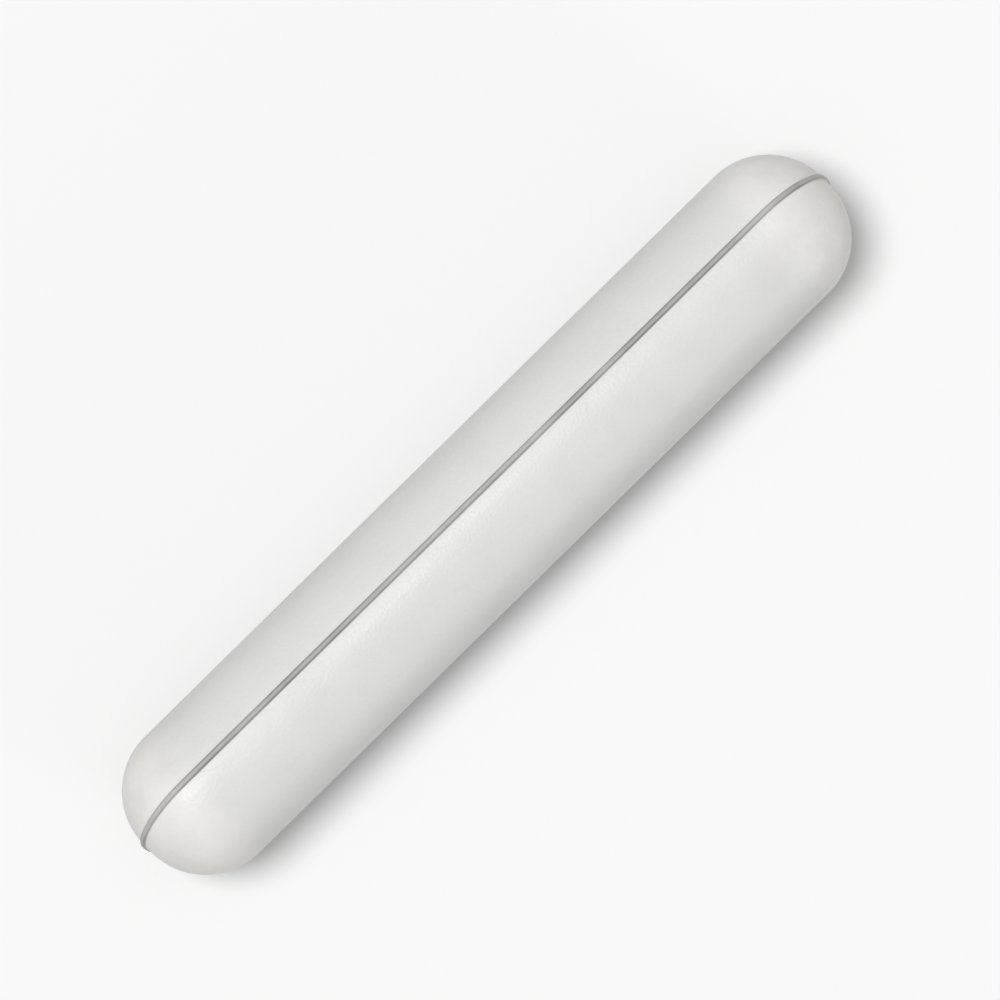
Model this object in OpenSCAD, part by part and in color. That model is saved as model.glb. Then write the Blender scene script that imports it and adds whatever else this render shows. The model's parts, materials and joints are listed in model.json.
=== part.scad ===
// Magnetic stir bar: a rod magnet sealed in a moulded fluoropolymer jacket.
// The bar lies along X with its centre at the origin, and Z is up.
// Lengths are in millimetres and angles in degrees.

/* [Bar] */
// Length of the bar from tip to tip, without its flash
bar_length = 35; // [20:1:60]
// Diameter of the straight barrel
bar_diameter = 6; // [4:0.5:10]
// Width of the small flat at each tip, which the end rounding leaves
tip_flat = 0.4; // [0.2:0.1:1.6]

/* [Mould flash] */
// Width of the raised line round the bar, where the halves of the mould met
flash_width = 0.25; // [0.15:0.05:0.5]
// Height of that line above the jacket
flash_height = 0.1; // [0.05:0.01:0.15]

/* [Jacket walls] */
// Thickness of the jacket beside the magnet
side_wall = 1; // [0.5:0.1:1.6]
// Thickness of the jacket between the magnet's end and the tip
end_wall = 2.5; // [1.5:0.1:6]
// Gap left round the magnet: none, because the jacket shrinks on to it
magnet_gap = 0; // [0:0.01:0.1]

/* [Magnet] */
// Chamfer ground on each end of the rod
magnet_chamfer = 0.3; // [0.1:0.05:0.8]

/* [Hidden] */
$fn = 120;

bar_radius = bar_diameter / 2;
end_radius = bar_radius - tip_flat / 2;
barrel_length = bar_length - 2 * end_radius;

// The flash is a round bead, sunk so that only flash_height of it stands proud.
flash_radius = (pow(flash_height, 2) + pow(flash_width / 2, 2)) / (2 * flash_height);
flash_sink = flash_radius - flash_height;

// The bar rolls until its barrel and its flash both touch the surface below.
rest_lean = acos((bar_radius - flash_radius) / (bar_radius - flash_sink));

magnet_radius = bar_radius - side_wall;
magnet_length = bar_length - 2 * end_wall;

// Half of the bar's outline, with its axis along Y.
module bar_profile() {
    translate([0, -barrel_length / 2])
        square([bar_radius, barrel_length]);
    translate([0, -bar_length / 2])
        square([tip_flat / 2, bar_length]);
    for (end = [0, 1])
        mirror([0, end])
            translate([tip_flat / 2, barrel_length / 2])
                intersection() {
                    circle(r = end_radius);
                    square(end_radius);
                }
}

// The plain bar: a straight barrel whose ends are rounded down to a small flat.
module round_bar() {
    rotate([0, 90, 0])
        rotate_extrude()
            bar_profile();
}

// One quarter turn of the flash, in the parting plane, round an end's rounding.
module flash_bend() {
    rotate([90, 0, 0])
        rotate_extrude(angle = 90)
            translate([end_radius - flash_sink, 0])
                circle(r = flash_radius);
}

// The flash runs once round the bar in the XZ plane, along both sides and over both tips.
module flash() {
    for (side = [-1, 1]) {
        translate([0, 0, side * (bar_radius - flash_sink)])
            rotate([0, 90, 0])
                cylinder(r = flash_radius, h = barrel_length, center = true);
        translate([side * (bar_length / 2 - flash_sink), 0, 0])
            cylinder(r = flash_radius, h = tip_flat, center = true);
    }
    for (end = [0, 1], side = [0, 1])
        mirror([end, 0, 0])
            mirror([0, 0, side])
                translate([barrel_length / 2, 0, tip_flat / 2])
                    flash_bend();
}

// The rod that is the magnet, or with a gap the pocket that it lies in.
module rod(gap = 0) {
    radius = magnet_radius + gap;
    half = magnet_length / 2 + gap;
    rotate([0, 90, 0])
        rotate_extrude()
            polygon([
                [0, -half],
                [radius - magnet_chamfer, -half],
                [radius, magnet_chamfer - half],
                [radius, half - magnet_chamfer],
                [radius - magnet_chamfer, half],
                [0, half]
            ]);
}

// The moulded jacket, turned about its axis as it comes to rest on its flash.
module jacket() {
    color("white")
        rotate([-rest_lean, 0, 0])
            difference() {
                union() {
                    round_bar();
                    flash();
                }
                rod(magnet_gap);
            }
}

// The sealed rod magnet that the stirrer's drive turns.
module magnet() {
    color("dimgray")
        rod();
}

jacket();
magnet();
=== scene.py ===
"""Dresses the magnetic stir bar: its moulded jacket, the magnet inside, and a plain studio."""

import json
import logging
import math
from collections.abc import Callable
from dataclasses import dataclass
from enum import Enum

import bmesh
import bpy
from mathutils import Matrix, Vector


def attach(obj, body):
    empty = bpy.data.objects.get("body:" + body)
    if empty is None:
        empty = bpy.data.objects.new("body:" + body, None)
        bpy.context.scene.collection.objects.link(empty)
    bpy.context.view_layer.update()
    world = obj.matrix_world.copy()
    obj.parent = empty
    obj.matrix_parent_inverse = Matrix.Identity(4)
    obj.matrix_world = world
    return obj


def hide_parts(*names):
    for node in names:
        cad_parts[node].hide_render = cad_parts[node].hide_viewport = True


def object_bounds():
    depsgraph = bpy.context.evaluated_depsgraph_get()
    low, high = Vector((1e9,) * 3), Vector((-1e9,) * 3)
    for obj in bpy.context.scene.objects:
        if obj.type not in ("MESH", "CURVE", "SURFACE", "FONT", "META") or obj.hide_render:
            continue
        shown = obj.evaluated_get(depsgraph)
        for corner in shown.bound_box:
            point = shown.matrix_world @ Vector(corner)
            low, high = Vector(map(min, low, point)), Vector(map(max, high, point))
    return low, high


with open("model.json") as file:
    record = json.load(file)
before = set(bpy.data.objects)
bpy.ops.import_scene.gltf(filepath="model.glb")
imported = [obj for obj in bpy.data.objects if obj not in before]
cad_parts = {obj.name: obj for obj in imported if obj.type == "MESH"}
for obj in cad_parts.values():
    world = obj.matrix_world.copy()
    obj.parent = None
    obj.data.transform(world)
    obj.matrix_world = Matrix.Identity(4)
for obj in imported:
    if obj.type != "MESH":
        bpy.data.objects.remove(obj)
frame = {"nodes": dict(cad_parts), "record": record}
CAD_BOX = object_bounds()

log = logging.getLogger("stir_bar")

# One millimetre, in metres.
MM = 0.001
# Places that are closer than this, in millimetres, count as the same.
HAIR = 0.001
# The bar's axis, and the normal of the parting plane while the jacket is modelled.
ALONG = Vector((1, 0, 0))
ACROSS = Vector((0, 0, 1))
# The vertex group that carries the height of the flash.
FLASH = "flash"

Colour = tuple[float, float, float, float]
Setting = float | tuple[float, ...] | bpy.types.NodeSocket


def linear(code: str) -> Colour:
    """Turns an sRGB hex colour into the linear colour that shaders take.

    Args:
        code: The colour as six hex digits after a hash.

    Returns:
        The linear red, green and blue, and an alpha of one.
    """
    channels = (int(code[i : i + 2], 16) / 255 for i in (1, 3, 5))
    curve = (c / 12.92 if c <= 0.04045 else ((c + 0.055) / 1.055) ** 2.4 for c in channels)
    return (*curve, 1.0)


def add_node(
    tree: bpy.types.NodeTree, kind: str, options: dict[str, object], **inputs: Setting
) -> bpy.types.Node:
    """Adds one shader node with its options, values and links.

    Args:
        tree: The node tree that the node joins.
        kind: The node's type after ShaderNode, such as TexNoise.
        options: The node's own properties, by name.
        **inputs: A value or a source socket for each input, named by its label with
            underscores for spaces, or by its number after the letter i where several
            inputs share a label, as on Mix and Math.

    Returns:
        The new node.
    """
    node = tree.nodes.new("ShaderNode" + kind)
    for name, value in options.items():
        setattr(node, name, value)
    for name, value in inputs.items():
        numbered = name[1:].isdigit()
        socket = node.inputs[int(name[1:]) if numbered else name.replace("_", " ")]
        if isinstance(value, bpy.types.NodeSocket):
            tree.links.new(value, socket)
        else:
            socket.default_value = value
    return node


def new_material(name: str) -> tuple[bpy.types.Material, bpy.types.NodeTree, bpy.types.Node]:
    """Starts a node material.

    Args:
        name: The finish's name.

    Returns:
        The material, its emptied node tree and its output node.
    """
    material = bpy.data.materials.new(name)
    material.use_nodes = True
    tree = material.node_tree
    tree.nodes.clear()
    return material, tree, add_node(tree, "OutputMaterial", {})


def millimetres(tree: bpy.types.NodeTree) -> bpy.types.NodeSocket:
    """Gives the object's own coordinates, counted in millimetres.

    Args:
        tree: The node tree that reads them.

    Returns:
        The vector's socket.
    """
    place = add_node(tree, "TexCoord", {}).outputs["Object"]
    return add_node(tree, "Mapping", {}, Vector=place, Scale=(1 / MM,) * 3).outputs["Vector"]


def on_show(tree: bpy.types.NodeTree) -> bpy.types.NodeSocket:
    """Tells the rays that show a surface or its reflection from those that only light.

    Args:
        tree: The node tree that asks.

    Returns:
        A socket that is one where the surface is shown, and zero where it only lights.
    """
    path = add_node(tree, "LightPath", {})
    shown = path.outputs["Is Camera Ray"]
    for other in ("Is Glossy Ray", "Is Transmission Ray"):
        shown = add_node(
            tree, "Math", {"operation": "MAXIMUM"}, i0=shown, i1=path.outputs[other]
        ).outputs[0]
    return shown


@dataclass(frozen=True)
class SinteredPtfe:
    """PTFE, pressed from powder round the magnet in a split mould, then sintered.

    That gives a waxy off-white with a broad soft sheen, a fine pressed grain, a faint
    mottle, and a slightly greyer tone where the wall is thin over the dark magnet. The
    flash has taken a grey smear from the glass that it rubs on, and the crevice at its
    foot is darkened partly by grime and partly by painted shade, both more in some
    places than in others.
    """

    body: str = "#EFEEEB"
    over_magnet: str = "#E4E4E3"
    fade_mm: float = 1.8
    mottle: str = "#DCDBD8"
    mottle_mm: float = 1.6
    mottle_band: tuple[float, float] = (0.42, 0.85)
    mottle_share: float = 0.6
    flash_smear: str = "#999997"
    smear_share: float = 0.85
    # Painted shade, with grime: the flanks of the flash and the crevice at its foot are darkened
    # in colour where shade falls.
    crevice_shade_and_grime: str = "#70706E"
    shade_and_grime_share: float = 0.9
    smear_and_shade_reach_mm: float = 0.05
    # Patches in which the smear and the painted crevice shade are weaker.
    smear_and_shade_patch_mm: float = 2.5
    smear_and_shade_patch_band: tuple[float, float] = (0.35, 0.65)
    least_smear_and_shade: float = 0.7
    refraction: float = 1.36
    gloss_roughness: float = 0.3
    matt_roughness: float = 0.43
    flow_mm: float = 0.35
    flow_stretch: float = 0.08
    flow_band: tuple[float, float] = (0.3, 0.7)
    flow_depth_mm: float = 0.008
    # The real grain is about 0.03 mm. It is drawn four times as coarse so that it shows.
    grain_mm: float = 0.12
    grain_depth_mm: float = 0.014
    scuff_mm: float = 0.8
    scuff_stretch: float = 0.012
    scuff_turns: tuple[float, float] = (0.55, -0.8)
    # Each set of scratches is also tipped about X and about Y, by these shares of its turn.
    scuff_tips: tuple[float, float] = (1 / 3, 1 / 2)
    scuff_depth_mm: float = 0.003
    scuff_width: float = 0.01
    scuffed_mm: float = 1.6
    scuffed_band: tuple[float, float] = (0.52, 0.62)
    scatter_share: float = 0.3
    scatter_mm: float = 0.12
    scatter_tint: tuple[float, float, float] = (1.0, 0.95, 0.9)

    def material(
        self, magnet_half_length: float, parting: Vector, flash_foot: float
    ) -> bpy.types.Material:
        """Builds the finish.

        Args:
            magnet_half_length: Half the magnet's length, in millimetres.
            parting: The parting plane's normal.
            flash_foot: How far the foot of the flash is from that plane, in millimetres.

        Returns:
            The material.
        """
        material, tree, output = new_material("sintered_ptfe")
        place = millimetres(tree)
        clean = self.clean_colour(tree, place, magnet_half_length)
        colour = self.smeared_and_shaded_colour(tree, place, clean, parting, flash_foot)
        stretched = add_node(
            tree, "Mapping", {}, Vector=place, Scale=(self.flow_stretch, 1, 1)
        ).outputs["Vector"]
        flow = add_node(
            tree, "TexNoise", {},
            Vector=stretched, Scale=1 / self.flow_mm, Detail=3.0, Roughness=0.55,
        ).outputs[0]
        sheen = add_node(
            tree, "MapRange", {}, Value=flow,
            From_Min=self.flow_band[0], From_Max=self.flow_band[1],
            To_Min=self.gloss_roughness, To_Max=self.matt_roughness,
        ).outputs["Result"]
        surface = add_node(
            tree, "BsdfPrincipled", {"subsurface_method": "RANDOM_WALK"},
            Base_Color=colour, Roughness=sheen, IOR=self.refraction,
            Normal=self.relief(tree, place, flow), Subsurface_Weight=self.scatter_share,
            Subsurface_Radius=self.scatter_tint, Subsurface_Scale=self.scatter_mm * MM,
        )
        tree.links.new(surface.outputs[0], output.inputs["Surface"])
        return material

    def clean_colour(
        self, tree: bpy.types.NodeTree, place: bpy.types.NodeSocket, magnet_half_length: float
    ) -> bpy.types.NodeSocket:
        """Colours the bare plastic, greyer over the magnet and faintly mottled.

        Args:
            tree: The node tree that the nodes join.
            place: The coordinates in millimetres.
            magnet_half_length: Half the magnet's length, in millimetres.

        Returns:
            The colour's socket.
        """
        along = add_node(tree, "SeparateXYZ", {}, Vector=place).outputs["X"]
        reach = add_node(tree, "Math", {"operation": "ABSOLUTE"}, i0=along).outputs[0]
        core = add_node(
            tree, "MapRange", {"interpolation_type": "SMOOTHSTEP"}, Value=reach,
            From_Min=magnet_half_length + self.fade_mm / 2,
            From_Max=magnet_half_length - self.fade_mm,
        ).outputs["Result"]
        tone = add_node(
            tree, "Mix", {"data_type": "RGBA"},
            i0=core, i6=linear(self.body), i7=linear(self.over_magnet),
        ).outputs[2]
        patches = add_node(
            tree, "TexNoise", {}, Vector=place, Scale=1 / self.mottle_mm, Detail=4.0, Roughness=0.6
        ).outputs[0]
        share = add_node(
            tree, "MapRange", {}, Value=patches,
            From_Min=self.mottle_band[0], From_Max=self.mottle_band[1], To_Max=self.mottle_share,
        ).outputs["Result"]
        return add_node(
            tree, "Mix", {"data_type": "RGBA"}, i0=share, i6=tone, i7=linear(self.mottle)
        ).outputs[2]

    def smeared_and_shaded_colour(
        self,
        tree: bpy.types.NodeTree,
        place: bpy.types.NodeSocket,
        clean: bpy.types.NodeSocket,
        parting: Vector,
        flash_foot: float,
    ) -> bpy.types.NodeSocket:
        """Adds the smear on the crest of the flash, and painted shade with grime at its foot.

        Args:
            tree: The node tree that the nodes join.
            place: The coordinates in millimetres.
            clean: The colour of the bare plastic.
            parting: The parting plane's normal.
            flash_foot: How far the foot of the flash is from that plane, in millimetres.

        Returns:
            The colour's socket.
        """
        across = add_node(
            tree, "VectorMath", {"operation": "DOT_PRODUCT"}, i0=place, i1=tuple(parting)
        ).outputs["Value"]
        out = add_node(tree, "Math", {"operation": "ABSOLUTE"}, i0=across).outputs[0]
        crest = add_node(
            tree, "MapRange", {"interpolation_type": "SMOOTHSTEP"}, Value=out,
            From_Min=flash_foot, From_Max=flash_foot - self.smear_and_shade_reach_mm,
            To_Max=self.smear_share,
        ).outputs["Result"]
        # Painted shade, with grime: a band darkest just inside the foot of the flash, over its
        # flanks and the crevice beside it.
        deepest = flash_foot - self.smear_and_shade_reach_mm / 2
        aside = add_node(tree, "Math", {"operation": "SUBTRACT"}, i0=out, i1=deepest).outputs[0]
        beside = add_node(tree, "Math", {"operation": "ABSOLUTE"}, i0=aside).outputs[0]
        crevice = add_node(
            tree, "MapRange", {"interpolation_type": "SMOOTHSTEP"}, Value=beside,
            From_Min=self.smear_and_shade_reach_mm, From_Max=0.0, To_Max=self.shade_and_grime_share,
        ).outputs["Result"]
        smeared = add_node(
            tree, "Mix", {"data_type": "RGBA"}, i0=crest, i6=clean, i7=linear(self.flash_smear)
        ).outputs[2]
        marked = add_node(
            tree, "Mix", {"data_type": "RGBA"},
            i0=crevice, i6=smeared, i7=linear(self.crevice_shade_and_grime),
        ).outputs[2]
        # Noise patches that weaken the smear and the painted crevice shade in places.
        patches = add_node(
            tree, "TexNoise", {}, Vector=place, Scale=1 / self.smear_and_shade_patch_mm, Detail=3.0
        ).outputs[0]
        smear_and_shade_share = add_node(
            tree, "MapRange", {}, Value=patches,
            From_Min=self.smear_and_shade_patch_band[0], From_Max=self.smear_and_shade_patch_band[1], To_Min=self.least_smear_and_shade,
        ).outputs["Result"]
        return add_node(
            tree, "Mix", {"data_type": "RGBA"}, i0=smear_and_shade_share, i6=clean, i7=marked
        ).outputs[2]

    def relief(
        self, tree: bpy.types.NodeTree, place: bpy.types.NodeSocket, flow: bpy.types.NodeSocket
    ) -> bpy.types.NodeSocket:
        """Adds the bump of the surface: the flow of the powder, its grain, and the scuffs.

        Args:
            tree: The node tree that the nodes join.
            place: The coordinates in millimetres.
            flow: The height of the streaks in which the powder flowed.

        Returns:
            The normal's socket.
        """
        drawn = add_node(
            tree, "Bump", {}, Strength=1.0, Distance=self.flow_depth_mm * MM, Height=flow
        ).outputs["Normal"]
        grain = add_node(
            tree, "TexNoise", {}, Vector=place, Scale=1 / self.grain_mm, Detail=2.0, Roughness=0.5
        ).outputs[0]
        normal = add_node(
            tree, "Bump", {}, Strength=1.0, Distance=self.grain_depth_mm * MM,
            Height=grain, Normal=drawn,
        ).outputs["Normal"]
        for turn in self.scuff_turns:
            normal = add_node(
                tree, "Bump", {"invert": True}, Strength=1.0, Distance=self.scuff_depth_mm * MM,
                Height=self.scuffs(tree, place, turn), Normal=normal,
            ).outputs["Normal"]
        return normal

    def scuffs(
        self, tree: bpy.types.NodeTree, place: bpy.types.NodeSocket, turn: float
    ) -> bpy.types.NodeSocket:
        """Draws the hair-fine scratches that soft PTFE takes from handling.

        Args:
            tree: The node tree that they join.
            place: The coordinates in millimetres.
            turn: The angle that they run at to the bar's axis, in radians.

        Returns:
            A socket that is one in a scratch and zero beside it.
        """
        turned = add_node(
            tree, "Mapping", {}, Vector=place,
            Rotation=(turn * self.scuff_tips[0], turn * self.scuff_tips[1], turn),
        ).outputs["Vector"]
        drawn_out = add_node(
            tree, "Mapping", {}, Vector=turned, Scale=(self.scuff_stretch, 1, 1)
        ).outputs["Vector"]
        field = add_node(
            tree, "TexNoise", {}, Vector=drawn_out, Scale=1 / self.scuff_mm, Detail=0.0
        ).outputs[0]
        # A scratch runs wherever the noise passes through the middle of its range.
        level = add_node(tree, "Math", {"operation": "SUBTRACT"}, i0=field, i1=0.5).outputs[0]
        edge = add_node(tree, "Math", {"operation": "ABSOLUTE"}, i0=level).outputs[0]
        hair = add_node(
            tree, "MapRange", {"interpolation_type": "SMOOTHSTEP"}, Value=edge,
            From_Min=self.scuff_width, From_Max=0.0,
        ).outputs["Result"]
        spread = add_node(
            tree, "TexNoise", {}, Vector=turned, Scale=1 / self.scuffed_mm, Detail=1.0
        ).outputs[0]
        patch = add_node(
            tree, "MapRange", {}, Value=spread,
            From_Min=self.scuffed_band[0], From_Max=self.scuffed_band[1],
        ).outputs["Result"]
        return add_node(tree, "Math", {"operation": "MULTIPLY"}, i0=hair, i1=patch).outputs[0]


@dataclass(frozen=True)
class CastAlnico:
    """AlNiCo, cast in a sand mould and ground to size.

    That gives a dull dark grey metal with small casting pits, and fine grinding lines that
    run round the rod.
    """

    metal: str = "#77746F"
    pit: str = "#4C4A47"
    pit_mm: float = 0.5
    pit_band: tuple[float, float] = (0.55, 0.72)
    roughness: float = 0.42
    grind_mm: float = 0.06
    grind_stretch: float = 0.1
    grind_depth_mm: float = 0.004

    def material(self) -> bpy.types.Material:
        """Builds the finish.

        Returns:
            The material.
        """
        material, tree, output = new_material("cast_alnico")
        place = millimetres(tree)
        pits = add_node(
            tree, "TexNoise", {}, Vector=place, Scale=1 / self.pit_mm, Detail=3.0
        ).outputs[0]
        share = add_node(
            tree, "MapRange", {}, Value=pits, From_Min=self.pit_band[0], From_Max=self.pit_band[1]
        ).outputs["Result"]
        colour = add_node(
            tree, "Mix", {"data_type": "RGBA"},
            i0=share, i6=linear(self.metal), i7=linear(self.pit),
        ).outputs[2]
        stretched = add_node(
            tree, "Mapping", {}, Vector=place, Scale=(1, self.grind_stretch, self.grind_stretch)
        ).outputs["Vector"]
        grind = add_node(
            tree, "TexNoise", {}, Vector=stretched, Scale=1 / self.grind_mm, Detail=2.0
        ).outputs[0]
        normal = add_node(
            tree, "Bump", {}, Strength=1.0, Distance=self.grind_depth_mm * MM, Height=grind
        ).outputs["Normal"]
        surface = add_node(
            tree, "BsdfPrincipled", {},
            Base_Color=colour, Metallic=1.0, Roughness=self.roughness, Normal=normal,
        )
        tree.links.new(surface.outputs[0], output.inputs["Surface"])
        return material


@dataclass(frozen=True)
class WhiteBench:
    """A matt white laminate.

    It is paler to the camera and in reflections than in the light that it throws back.
    """

    seen: str = "#FAFAFA"
    lit: str = "#B8B8B8"
    roughness: float = 0.8

    def material(self) -> bpy.types.Material:
        """Builds the finish.

        Returns:
            The material.
        """
        material, tree, output = new_material("white_bench")
        colour = add_node(
            tree, "Mix", {"data_type": "RGBA"},
            i0=on_show(tree), i6=linear(self.lit), i7=linear(self.seen),
        ).outputs[2]
        surface = add_node(tree, "BsdfDiffuse", {}, Color=colour, Roughness=self.roughness)
        tree.links.new(surface.outputs[0], output.inputs["Surface"])
        return material


class Pick(Enum):
    """What part of a mesh an edit selects."""

    VERTICES = "VERT"
    EDGES = "EDGE"


def only(piece: bpy.types.Object) -> None:
    """Makes one object the only selected one, and the active one.

    Args:
        piece: That object.
    """
    bpy.ops.object.select_all(action="DESELECT")
    piece.select_set(True)
    bpy.context.view_layer.objects.active = piece


def begin_edit(piece: bpy.types.Object) -> None:
    """Opens one piece in edit mode with nothing selected.

    Args:
        piece: The object to edit.
    """
    only(piece)
    bpy.ops.object.mode_set(mode="EDIT")
    bpy.ops.mesh.select_all(action="DESELECT")


def end_edit() -> None:
    """Goes back to object mode."""
    bpy.ops.object.mode_set(mode="OBJECT")


def select(piece: bpy.types.Object, pick: Pick, test: Callable[[Vector], bool]) -> None:
    """Selects the elements whose every corner passes a test, in edit mode.

    Args:
        piece: The object being edited.
        pick: Whether vertices or edges are selected.
        test: Takes a corner's place and says whether it is wanted.
    """
    bpy.ops.mesh.select_mode(type=pick.value)
    bpy.ops.mesh.select_all(action="DESELECT")
    mesh = bmesh.from_edit_mesh(piece.data)
    whole = pick is Pick.VERTICES
    elements = mesh.verts if whole else mesh.edges
    for element in elements:
        corners = [element] if whole else element.verts
        if all(test(corner.co) for corner in corners):
            element.select_set(True)
    mesh.select_flush_mode()
    bmesh.update_edit_mesh(piece.data)


def finish_with(piece: bpy.types.Object, kind: str, **settings: object) -> None:
    """Adds a modifier to a piece and applies it.

    Args:
        piece: The object to change.
        kind: The modifier's type, such as MIRROR.
        **settings: The modifier's own properties, by name.
    """
    only(piece)
    modifier = piece.modifiers.new(kind.lower(), kind)
    for name, value in settings.items():
        setattr(modifier, name, value)
    bpy.ops.object.modifier_apply(modifier=modifier.name)


def lay_rod(radius: float, length: float, facets: int) -> bpy.types.Object:
    """Adds a plain rod along X, centred on the origin.

    Args:
        radius: The rod's radius.
        length: Its length.
        facets: How many sides stand for its roundness.

    Returns:
        The rod.
    """
    bpy.ops.object.select_all(action="DESELECT")
    quarter = math.pi / 2
    # The middle turn is half a facet. It keeps the seams between facets out of the bar's
    # planes of symmetry, where the nearest point could lie on either side of a seam.
    bpy.ops.mesh.primitive_cylinder_add(
        vertices=facets, radius=radius, depth=length,
        rotation=(quarter, math.pi / facets, quarter),
    )
    rod = bpy.context.object
    only(rod)
    bpy.ops.object.transform_apply(rotation=True)
    return rod


def ease_rims(rod: bpy.types.Object, length: float, size: float, segments: int) -> None:
    """Bevels the two rims of a rod, which is being edited.

    Args:
        rod: A rod along X, centred on the origin.
        length: Its length.
        size: How far the bevel reaches from each rim.
        segments: One for a chamfer, and more for a rounding.
    """
    for end in (-length / 2, length / 2):
        select(rod, Pick.EDGES, lambda corner: abs(corner.x - end) < HAIR)
        bpy.ops.mesh.bevel(offset=size, segments=segments, profile=0.5, clamp_overlap=False)


def cut_ring(axis: Vector, place: float) -> None:
    """Cuts the piece being edited all round.

    Args:
        axis: The unit vector that the ring stands square to.
        place: How far along that axis the ring is cut.
    """
    bpy.ops.mesh.select_all(action="SELECT")
    bpy.ops.mesh.bisect(plane_co=axis * place, plane_no=axis)


def even_out(length: float) -> None:
    """Cuts the barrel of the rod being edited into rings about a millimetre long.

    Args:
        length: The barrel's length, in millimetres, without the bevelled rims.
    """
    rings = round(length)
    for ring in range(1, rings):
        cut_ring(ALONG, length * (ring / rings - 0.5))


@dataclass(frozen=True)
class Unevenness:
    """A soft unevenness of a moulded surface, in millimetres."""

    name: str
    size: float
    layers: int
    reach: float

    def press_into(self, piece: bpy.types.Object, **settings: object) -> None:
        """Moves a piece's surface by this unevenness.

        Args:
            piece: The object to change.
            **settings: The displacement's other properties, by name.
        """
        noise = bpy.data.textures.new(self.name, "CLOUDS")
        noise.noise_scale = self.size
        noise.noise_depth = self.layers
        finish_with(piece, "DISPLACE", texture=noise, strength=self.reach, **settings)


@dataclass
class Magnet:
    """The rod magnet, which is sealed in the jacket and keeps its own solid."""

    rod: bpy.types.Object
    finish: CastAlnico = CastAlnico()

    @property
    def half_length(self) -> float:
        """Half the rod's length, in millimetres."""
        return max(corner.co.x for corner in self.rod.data.vertices) / MM

    @property
    def radius(self) -> float:
        """The rod's radius, in millimetres."""
        return max(corner.co.yz.length for corner in self.rod.data.vertices) / MM

    @property
    def chamfer(self) -> float:
        """How far the chamfer reaches along the rod from each end, in millimetres."""
        side = (self.radius - HAIR) * MM
        corners = (corner.co for corner in self.rod.data.vertices)
        return self.half_length - max(place.x for place in corners if place.yz.length > side) / MM

    def dress(self) -> None:
        """Gives the rod its finish."""
        self.rod.data.materials.clear()
        self.rod.data.materials.append(self.finish.material())


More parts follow.
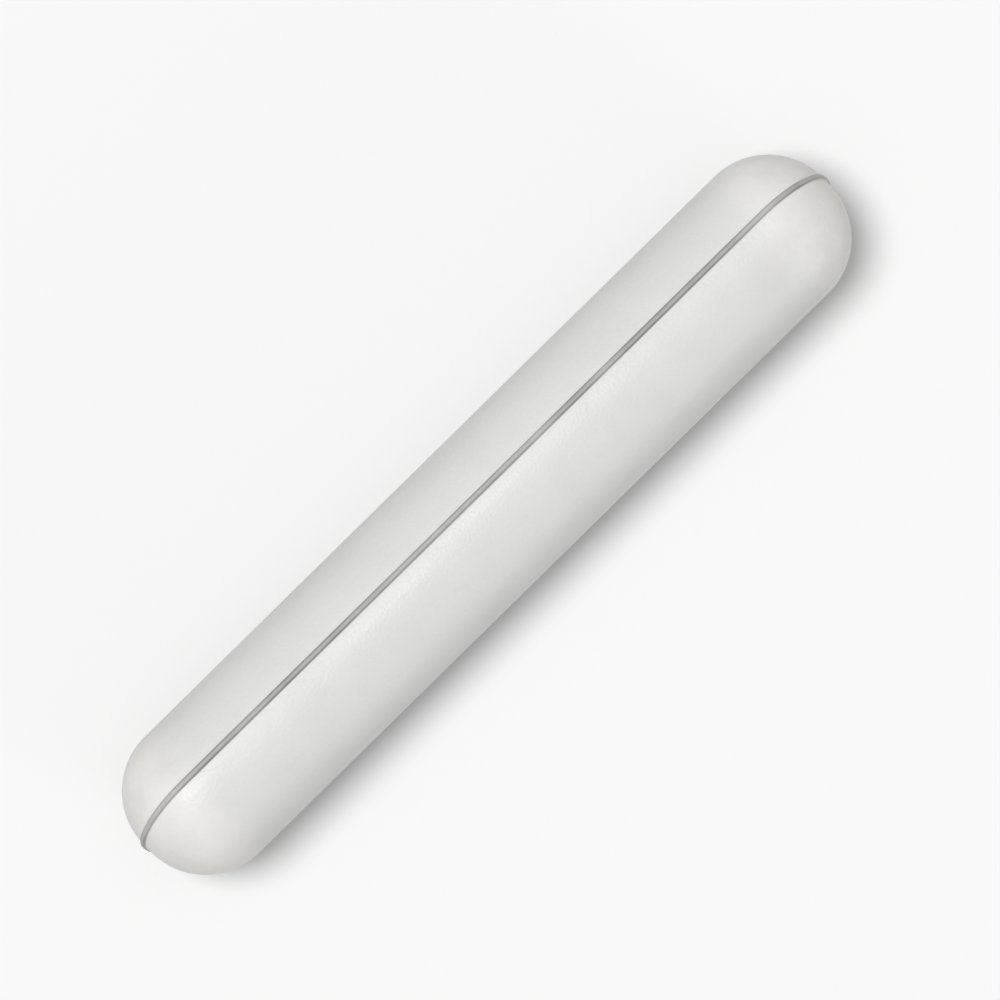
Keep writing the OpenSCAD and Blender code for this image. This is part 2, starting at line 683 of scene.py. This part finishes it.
@dataclass
class Jacket:
    """The moulded jacket, with the flash that the parting of its mould left round it.

    It is modelled in millimetres, with its axis along X and the parting plane flat, and
    is laid down and brought to metres at the end. In metres, the operators' tolerances
    would be a tenth of a millimetre, which is as much as the flash is high.
    """

    radius: float
    barrel_length: float
    box_length: float
    magnet: Magnet
    flash_width: float = 0.25
    flash_height: float = 0.1
    flash_steps: int = 6
    ring_step: float = 0.25
    longitudes: int = 96
    latitudes: int = 64
    blank_facets: int = 256
    blank_end_steps: int = 64
    swell: Unevenness = Unevenness("swell", size=5.0, layers=1, reach=0.008)
    ragged_edge: Unevenness = Unevenness("ragged_edge", size=0.7, layers=2, reach=0.05)
    wander: Unevenness = Unevenness("wander", size=4.0, layers=1, reach=0.04)
    finish: SinteredPtfe = SinteredPtfe()

    @property
    def half_length(self) -> float:
        """Half the bar's length between its tips, without the flash."""
        return self.box_length / 2 - self.flash_height

    @property
    def end_radius(self) -> float:
        """Radius of the rounding at each end."""
        return self.half_length - self.barrel_length / 2

    @property
    def bead_radius(self) -> float:
        """Radius of the flash's round section."""
        return (self.flash_height**2 + (self.flash_width / 2) ** 2) / (2 * self.flash_height)

    @property
    def lean(self) -> float:
        """Angle through which the bar has rolled to rest on its flash."""
        rest = self.radius - self.bead_radius
        return math.acos(rest / (rest + self.flash_height))

    @property
    def parting(self) -> Vector:
        """Normal of the mould's parting plane, as the bar lies."""
        return Vector((0.0, -math.cos(self.lean), math.sin(self.lean)))

    def build(self) -> bpy.types.Object:
        """Models the jacket.

        Returns:
            The finished piece, in metres, where the part's frame has it.
        """
        blank = self.turn_blank()
        skin = self.draw_skin()
        self.mark_flash(skin)
        finish_with(skin, "SHRINKWRAP", target=blank, wrap_method="NEAREST_SURFACEPOINT")
        bpy.data.objects.remove(blank)
        self.raise_flash(skin)
        self.hollow_out(skin)
        self.lay_down(skin)
        skin.data.materials.append(
            self.finish.material(self.magnet.half_length, self.parting, self.flash_width / 2)
        )
        return skin

    def turn_blank(self) -> bpy.types.Object:
        """Makes the plain form that the skin is drawn over, a rod with rounded ends.

        Returns:
            The blank, whose faces are too long and thin to be shown.
        """
        blank = lay_rod(self.radius, 2 * self.half_length, self.blank_facets)
        begin_edit(blank)
        ease_rims(blank, 2 * self.half_length, self.end_radius, self.blank_end_steps)
        # On faces as long as the barrel, the shrinkwrap's nearest point is off by
        # hundredths of a millimetre, so they are cut short.
        even_out(self.barrel_length)
        end_edit()
        return blank

    def draw_skin(self) -> bpy.types.Object:
        """Makes the jacket's even mesh, whose rings run parallel to the parting plane.

        Returns:
            The closed skin, near the form that it is then drawn over.
        """
        bpy.ops.object.select_all(action="DESELECT")
        bpy.ops.mesh.primitive_uv_sphere_add(
            segments=self.longitudes, ring_count=self.latitudes, radius=self.radius
        )
        skin = bpy.context.object
        skin.name = "moulded_jacket"
        shoulder = self.half_length - self.radius
        steps = round(shoulder / self.ring_step)
        begin_edit(skin)
        select(skin, Pick.VERTICES, lambda corner: corner.x < -HAIR)
        bpy.ops.mesh.delete(type="VERT")
        bpy.ops.mesh.select_all(action="SELECT")
        bpy.ops.transform.translate(value=(shoulder, 0, 0))
        select(skin, Pick.EDGES, lambda corner: abs(corner.x - shoulder) < HAIR)
        for _ in range(steps):
            bpy.ops.mesh.extrude_region_move(
                TRANSFORM_OT_translate={"value": (-shoulder / steps, 0, 0)}
            )
        end_edit()
        finish_with(skin, "MIRROR", use_axis=(True, False, False), merge_threshold=HAIR)
        return skin

    def mark_flash(self, skin: bpy.types.Object) -> None:
        """Adds the flash's own rings, and weights each by the bead's height there.

        Args:
            skin: The jacket's skin, with a ring of edges at its parting plane.
        """
        begin_edit(skin)
        skin.vertex_groups.new(name=FLASH)
        for step in range(self.flash_steps + 1):
            out = self.flash_width / 2 * step / self.flash_steps
            if step:
                cut_ring(ACROSS, -out)
                cut_ring(ACROSS, out)
            rise = math.sqrt(self.bead_radius**2 - out**2) - self.bead_radius + self.flash_height
            select(skin, Pick.VERTICES, lambda corner: abs(abs(corner.z) - out) < HAIR)
            bpy.context.scene.tool_settings.vertex_group_weight = rise / self.flash_height
            bpy.ops.object.vertex_group_assign()
        end_edit()

    def raise_flash(self, skin: bpy.types.Object) -> None:
        """Raises the bead of flash, and gives it and the jacket the unevenness of a moulding.

        Args:
            skin: The jacket's skin, with the flash's rings weighted.
        """
        self.swell.press_into(skin)
        self.ragged_edge.press_into(skin, vertex_group=FLASH)
        finish_with(
            skin, "DISPLACE", vertex_group=FLASH, mid_level=0.0, strength=self.flash_height
        )
        self.wander.press_into(skin, vertex_group=FLASH, direction="Z")

    def hollow_out(self, skin: bpy.types.Object) -> None:
        """Gives the jacket the closed pocket that the magnet fills, with its faces inwards.

        Args:
            skin: The jacket's skin, which is solid so far.
        """
        magnet = self.magnet
        pocket = lay_rod(magnet.radius, 2 * magnet.half_length, self.longitudes)
        begin_edit(pocket)
        ease_rims(pocket, 2 * magnet.half_length, magnet.chamfer, 1)
        even_out(2 * (magnet.half_length - magnet.chamfer))
        bpy.ops.mesh.select_all(action="SELECT")
        bpy.ops.mesh.flip_normals()
        end_edit()
        skin.select_set(True)
        bpy.context.view_layer.objects.active = skin
        bpy.ops.object.join()

    def lay_down(self, skin: bpy.types.Object) -> None:
        """Leans the jacket on its flash, and brings it to metres.

        Args:
            skin: The jacket, still in millimetres with its parting plane flat.
        """
        only(skin)
        skin.rotation_euler = (math.pi / 2 - self.lean, 0, 0)
        skin.scale = (MM,) * 3
        bpy.ops.object.transform_apply(rotation=True, scale=True)
        bpy.ops.object.shade_smooth()


@dataclass
class Bench:
    """The plain pale surface that the bar lies on, in metres."""

    height: float
    width: float = 1.6
    finish: WhiteBench = WhiteBench()

    def build(self) -> bpy.types.Object:
        """Lays the bench top.

        Returns:
            The bench, which is no part of the object.
        """
        bpy.ops.object.select_all(action="DESELECT")
        bpy.ops.mesh.primitive_plane_add(size=self.width, location=(0, 0, self.height))
        top = bpy.context.object
        top.name = "bench_top"
        bpy.ops.object.transform_apply(location=True)
        top.data.materials.append(self.finish.material())
        return top


@dataclass(frozen=True)
class Softbox:
    """A round diffuse lamp aimed at the bar, with angles in degrees and lengths in metres.

    At level 1, and alone, it shows a matt colour that faces it just as written.
    """

    name: str
    bearing: float
    elevation: float
    distance: float
    diameter: float
    level: float

    def hang(self) -> None:
        """Hangs the lamp."""
        turn, rise = math.radians(self.bearing), math.radians(self.elevation)
        level_way = Vector((math.cos(turn), math.sin(turn), 0))
        away = level_way * math.cos(rise) + Vector((0, 0, math.sin(rise)))
        data = bpy.data.lights.new(self.name, "AREA")
        data.shape = "DISK"
        data.size = self.diameter
        # On its axis, a disc of radius r lights a place d away by its power over
        # pi (d^2 + r^2), and a matt white surface there shows that light over pi.
        data.energy = self.level * math.pi**2 * (self.distance**2 + (self.diameter / 2) ** 2)
        lamp = bpy.data.objects.new(self.name, data)
        lamp.location = away * self.distance
        lamp.rotation_euler = away.to_track_quat("Z", "Y").to_euler()
        bpy.context.scene.collection.objects.link(lamp)


@dataclass
class Studio:
    """Plain soft light: a room that is white all round, a high softbox and a low, weak one."""

    room: str = "#FFFFFF"
    room_level: float = 0.4
    backdrop_level: float = 0.95
    key: Softbox = Softbox(
        "key_softbox", bearing=125, elevation=74, distance=0.9, diameter=0.4, level=0.58
    )
    fill: Softbox = Softbox(
        "fill_softbox", bearing=-80, elevation=12, distance=0.9, diameter=0.4, level=0.12
    )

    def light(self) -> None:
        """Hangs the softboxes and sets the room."""
        self.key.hang()
        self.fill.hang()
        world = bpy.data.worlds.new("white_room")
        bpy.context.scene.world = world
        world.use_nodes = True
        tree = world.node_tree
        tree.nodes.clear()
        strength = add_node(
            tree, "MapRange", {}, Value=on_show(tree),
            To_Min=self.room_level, To_Max=self.backdrop_level,
        ).outputs["Result"]
        room = add_node(tree, "Background", {}, Color=linear(self.room), Strength=strength)
        output = add_node(tree, "OutputWorld", {})
        tree.links.new(room.outputs[0], output.inputs["Surface"])


@dataclass
class PlanCamera:
    """A long lens that looks straight down on the bar.

    The bar's middle is placed in pixels from the frame's upper left corner, and the slope
    at which the bar rises to the right is in degrees.
    """

    frame_px: float = 1000.0
    px_per_mm: float = 27.17
    centre_px: tuple[float, float] = (486.7, 514.7)
    bar_slope: float = 44.51
    lens: float = 200.0
    sensor: float = 36.0

    def place(self) -> None:
        """Puts the camera over the bar, turned so that the +X end is at the upper right."""
        data = bpy.data.cameras.new("plan_camera")
        data.lens = self.lens
        data.sensor_width = self.sensor
        camera = bpy.data.objects.new("plan_camera", data)
        turn = -math.radians(self.bar_slope)
        px = MM / self.px_per_mm
        middle = self.frame_px / 2
        aside = (middle - self.centre_px[0]) * px
        upward = (self.centre_px[1] - middle) * px
        right = Vector((math.cos(turn), math.sin(turn), 0))
        top = Vector((-math.sin(turn), math.cos(turn), 0))
        height = self.frame_px * px * self.lens / self.sensor
        camera.location = right * aside + top * upward + Vector((0, 0, height))
        camera.rotation_euler = (0, 0, turn)
        bpy.context.scene.collection.objects.link(camera)
        bpy.context.scene.camera = camera


def main() -> None:
    """Builds every piece in order, and the studio round them."""
    logging.basicConfig(level=logging.INFO, format="%(name)s: %(message)s")
    mounts = {mount["name"]: mount for mount in frame["record"]["mounts"]}
    barrel = mounts["barrel"]["dims"]
    low, high = CAD_BOX
    PlanCamera().place()

    magnet = Magnet(frame["nodes"]["magnet"])
    magnet.dress()
    log.info("%s: %.1f mm long, sealed inside", magnet.rod.name, 2 * magnet.half_length)

    jacket = Jacket(
        radius=barrel["r_mm"],
        barrel_length=barrel["length_mm"],
        box_length=(high.x - low.x) / MM,
        magnet=magnet,
    )
    piece = jacket.build()
    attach(piece, "root")
    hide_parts("jacket")
    lean = math.degrees(jacket.lean)
    log.info("%s: %d faces, leaning %.1f degrees", piece.name, len(piece.data.polygons), lean)

    bench = Bench(height=low.z).build()
    Studio().light()
    bpy.context.scene.view_settings.view_transform = "Standard"
    log.info("%s and the lamps are up", bench.name)


if __name__ == "__main__":
    main()
